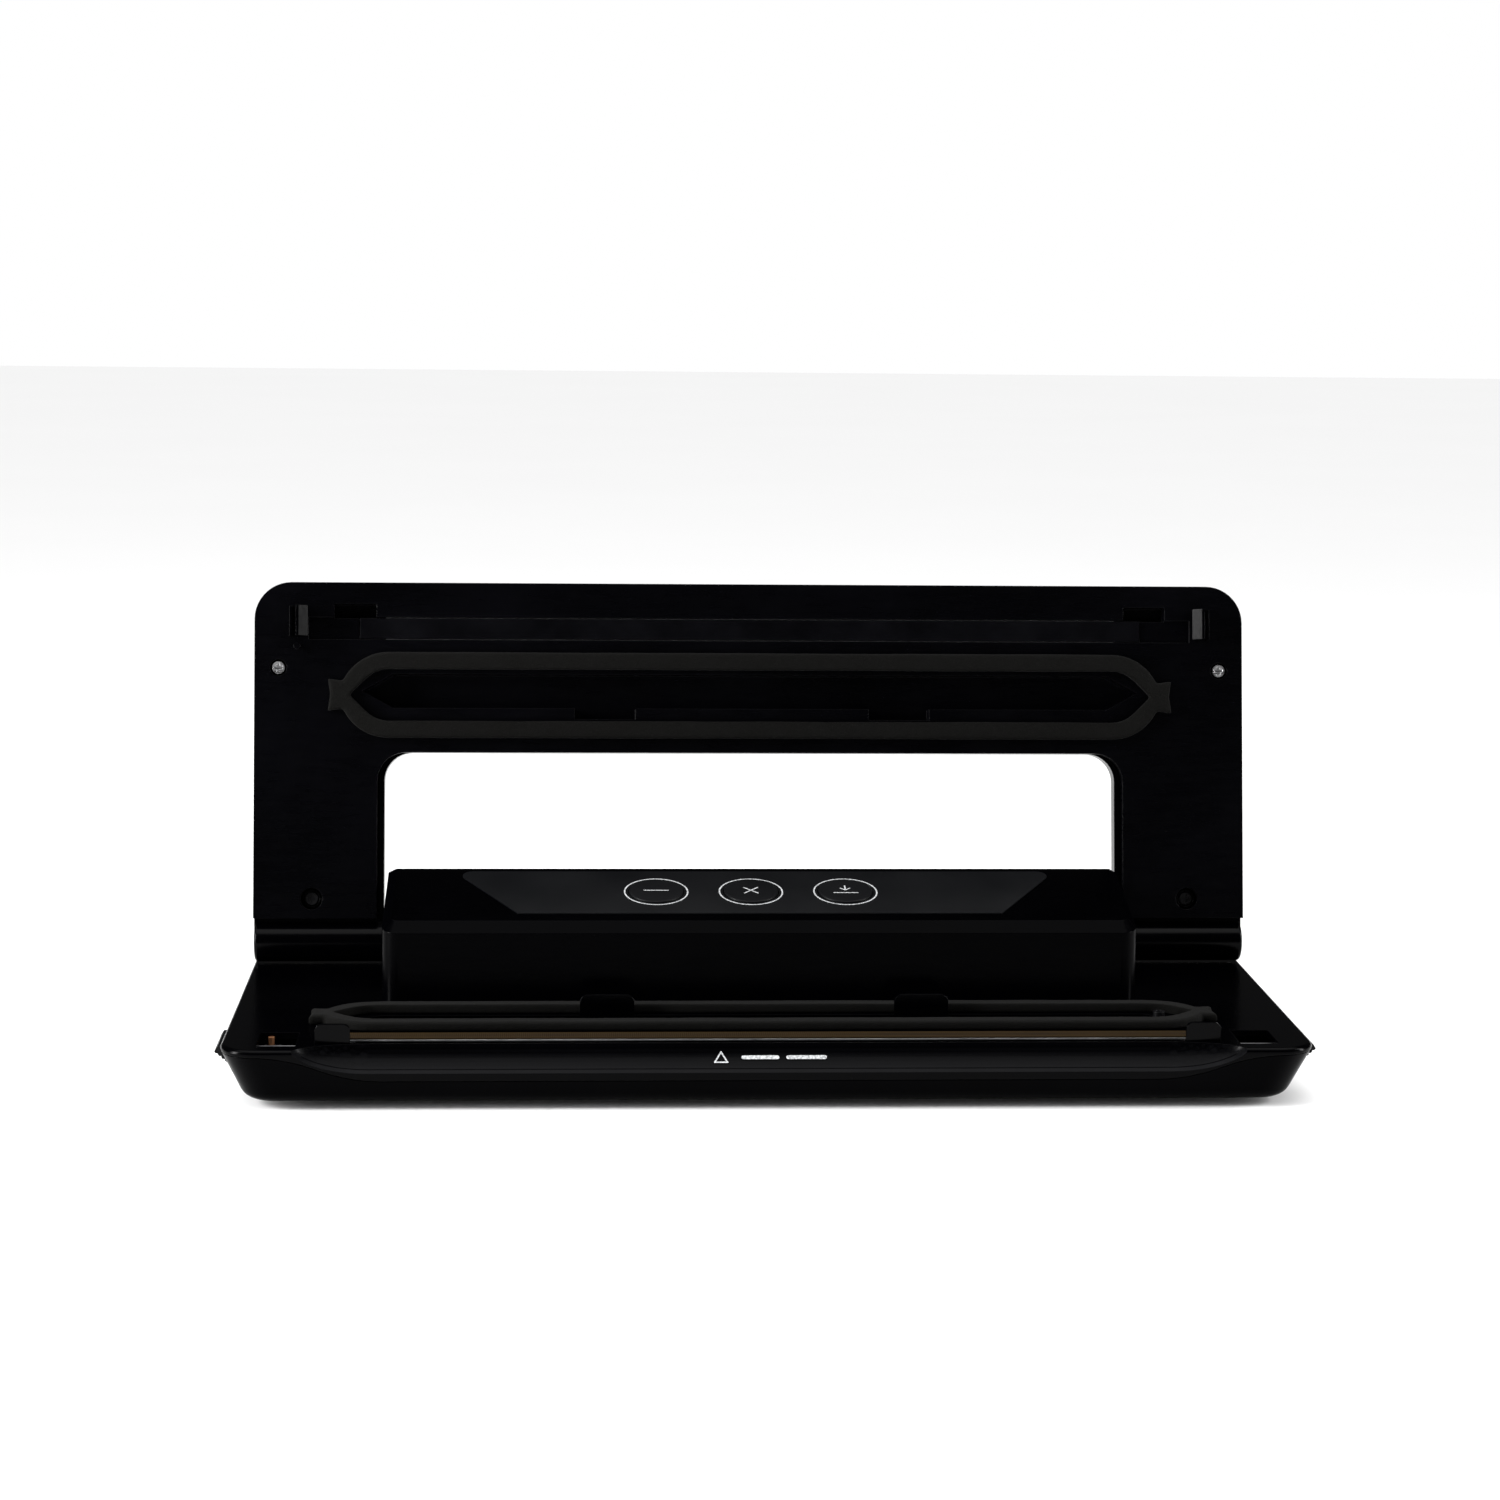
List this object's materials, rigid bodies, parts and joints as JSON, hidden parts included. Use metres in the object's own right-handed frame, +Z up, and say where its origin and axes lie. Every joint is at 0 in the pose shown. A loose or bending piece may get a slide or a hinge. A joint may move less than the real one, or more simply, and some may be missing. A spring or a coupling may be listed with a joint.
{
  "type": "vacuum packing machine",
  "caption": "Tabletop bag vacuum sealer: low flared base with vacuum trough and sealing strip, raised control box, and a hinged lid held down by side latches",
  "frame": {"origin": "under the middle of the machine, at the bottom of the feet", "axes": "+X to the right along the length, +Y to the back, +Z up"},
  "size_m": [0.3956, 0.1722, 0.1714],
  "materials": {
    "black_gloss": "near-black glossy moulded plastic",
    "black_satin": "satin black moulded plastic",
    "overlay_film": "dark satin film with pale rings",
    "foam": "closed cell foam, warm dark grey",
    "tape": "ochre brown woven sealing tape",
    "silicone": "dark blue grey silicone",
    "rubber": "black rubber",
    "steel": "zinc plated steel",
    "aluminium": "extruded aluminium",
    "copper": "copper",
    "board": "green circuit board",
    "works_plastic": "black inner plastic",
    "spring_steel": "spring steel"
  },
  "bodies": {
    "base": {"lower_housing": "black_gloss", "deck_cover": "black_gloss", "rubber_feet": "rubber", "bottom_screws": "steel", "vacuum_trough": "black_gloss", "lower_gasket": "foam", "bag_stops": "black_satin", "bag_guides": "black_satin", "seal_bar": "aluminium", "heating_wire": "spring_steel", "seal_tape": "tape", "air_inlet_nozzle": "black_satin", "control_housing": "black_gloss", "control_overlay": "overlay_film", "control_board": "board", "tact_switches": "works_plastic", "right_hinge_pin": "steel", "left_hinge_pin": "steel", "right_latch_spring": "spring_steel", "left_latch_spring": "spring_steel", "lid_switch": "works_plastic", "pump_motor": "steel", "pump_cylinder": "aluminium", "pump_bracket": "steel", "suction_hose": "rubber", "transformer": "steel", "power_board": "board", "board_components": "works_plastic", "vent_valve": "works_plastic", "mains_inlet": "black_satin", "mains_pins": "steel"},
    "lid": {"lid_outer_cover": "black_gloss", "lid_inner_panel": "black_gloss", "upper_gasket": "foam", "pressure_bar": "silicone", "pressure_bar_holder": "aluminium", "right_latch_hook": "black_satin", "left_latch_hook": "black_satin", "lid_screws": "steel", "lid_arm_screws": "steel", "hinge_bushings": "works_plastic"},
    "right_release": {"right_release_button": "black_satin", "right_latch_slider": "works_plastic"},
    "left_release": {"left_release_button": "black_satin", "left_latch_slider": "works_plastic"},
    "key_seal": {"key_seal": "overlay_film"},
    "key_cancel": {"key_cancel": "overlay_film"},
    "key_vacuum": {"key_vacuum": "overlay_film"},
    "pump_rotor": {"motor_shaft": "steel", "eccentric": "steel"},
    "pump_rod": {"connecting_rod": "works_plastic", "piston_cup": "rubber"},
    "switch_plunger": {"lid_switch_plunger": "copper"},
    "valve_plunger": {"vent_valve_plunger": "works_plastic"}
  },
  "joints": [
    {"name": "lid_hinge", "type": "hinge", "parent": "base", "child": "lid", "pos_m": [0, 0.05482, 0.032], "axis": [1, 0, 0], "range_deg": [0, 101.05], "deforming": ["lower_gasket", "upper_gasket"]},
    {"name": "right_release", "type": "slide", "parent": "base", "child": "right_release", "axis": [-1, 0, 0], "range_m": [0, 0.003], "stiffness_N_per_m": 900, "springref_m": -0.0012, "deforming": ["right_latch_spring"]},
    {"name": "left_release", "type": "slide", "parent": "base", "child": "left_release", "axis": [1, 0, 0], "range_m": [0, 0.003], "stiffness_N_per_m": 900, "springref_m": -0.0012, "deforming": ["left_latch_spring"]},
    {"name": "key_seal_press", "type": "slide", "parent": "base", "child": "key_seal", "axis": [0, 0.2164, -0.9763], "range_m": [0, 0.0005], "stiffness_N_per_m": 1500, "springref_m": -0.0004},
    {"name": "key_cancel_press", "type": "slide", "parent": "base", "child": "key_cancel", "axis": [0, 0.2164, -0.9763], "range_m": [0, 0.0005], "stiffness_N_per_m": 1500, "springref_m": -0.0004},
    {"name": "key_vacuum_press", "type": "slide", "parent": "base", "child": "key_vacuum", "axis": [0, 0.2164, -0.9763], "range_m": [0, 0.0005], "stiffness_N_per_m": 1500, "springref_m": -0.0004},
    {"name": "pump_rotor_spin", "type": "hinge", "parent": "base", "child": "pump_rotor", "pos_m": [-0.052, 0.02482, 0.022], "axis": [1, 0, 0], "continuous": true},
    {"name": "pump_rod_turn", "type": "hinge", "parent": "pump_rotor", "child": "pump_rod", "pos_m": [-0.0435, 0.02482, 0.023], "axis": [1, 0, 0], "continuous": true},
    {"name": "switch_plunger_press", "type": "slide", "parent": "base", "child": "switch_plunger", "axis": [0, 0, -1], "range_m": [0, 0.0012]},
    {"name": "valve_plunger_lift", "type": "slide", "parent": "base", "child": "valve_plunger", "axis": [0, 0, -1], "range_m": [0, 0.0015], "stiffness_N_per_m": 300, "springref_m": -0.001}
  ],
  "couplings": [
    {"joint": "pump_rod_turn", "follows": "pump_rotor_spin", "ratio": -1},
    {"joint": "switch_plunger_press", "follows": "lid_hinge", "m_per_rad": 0.00066907}
  ]
}
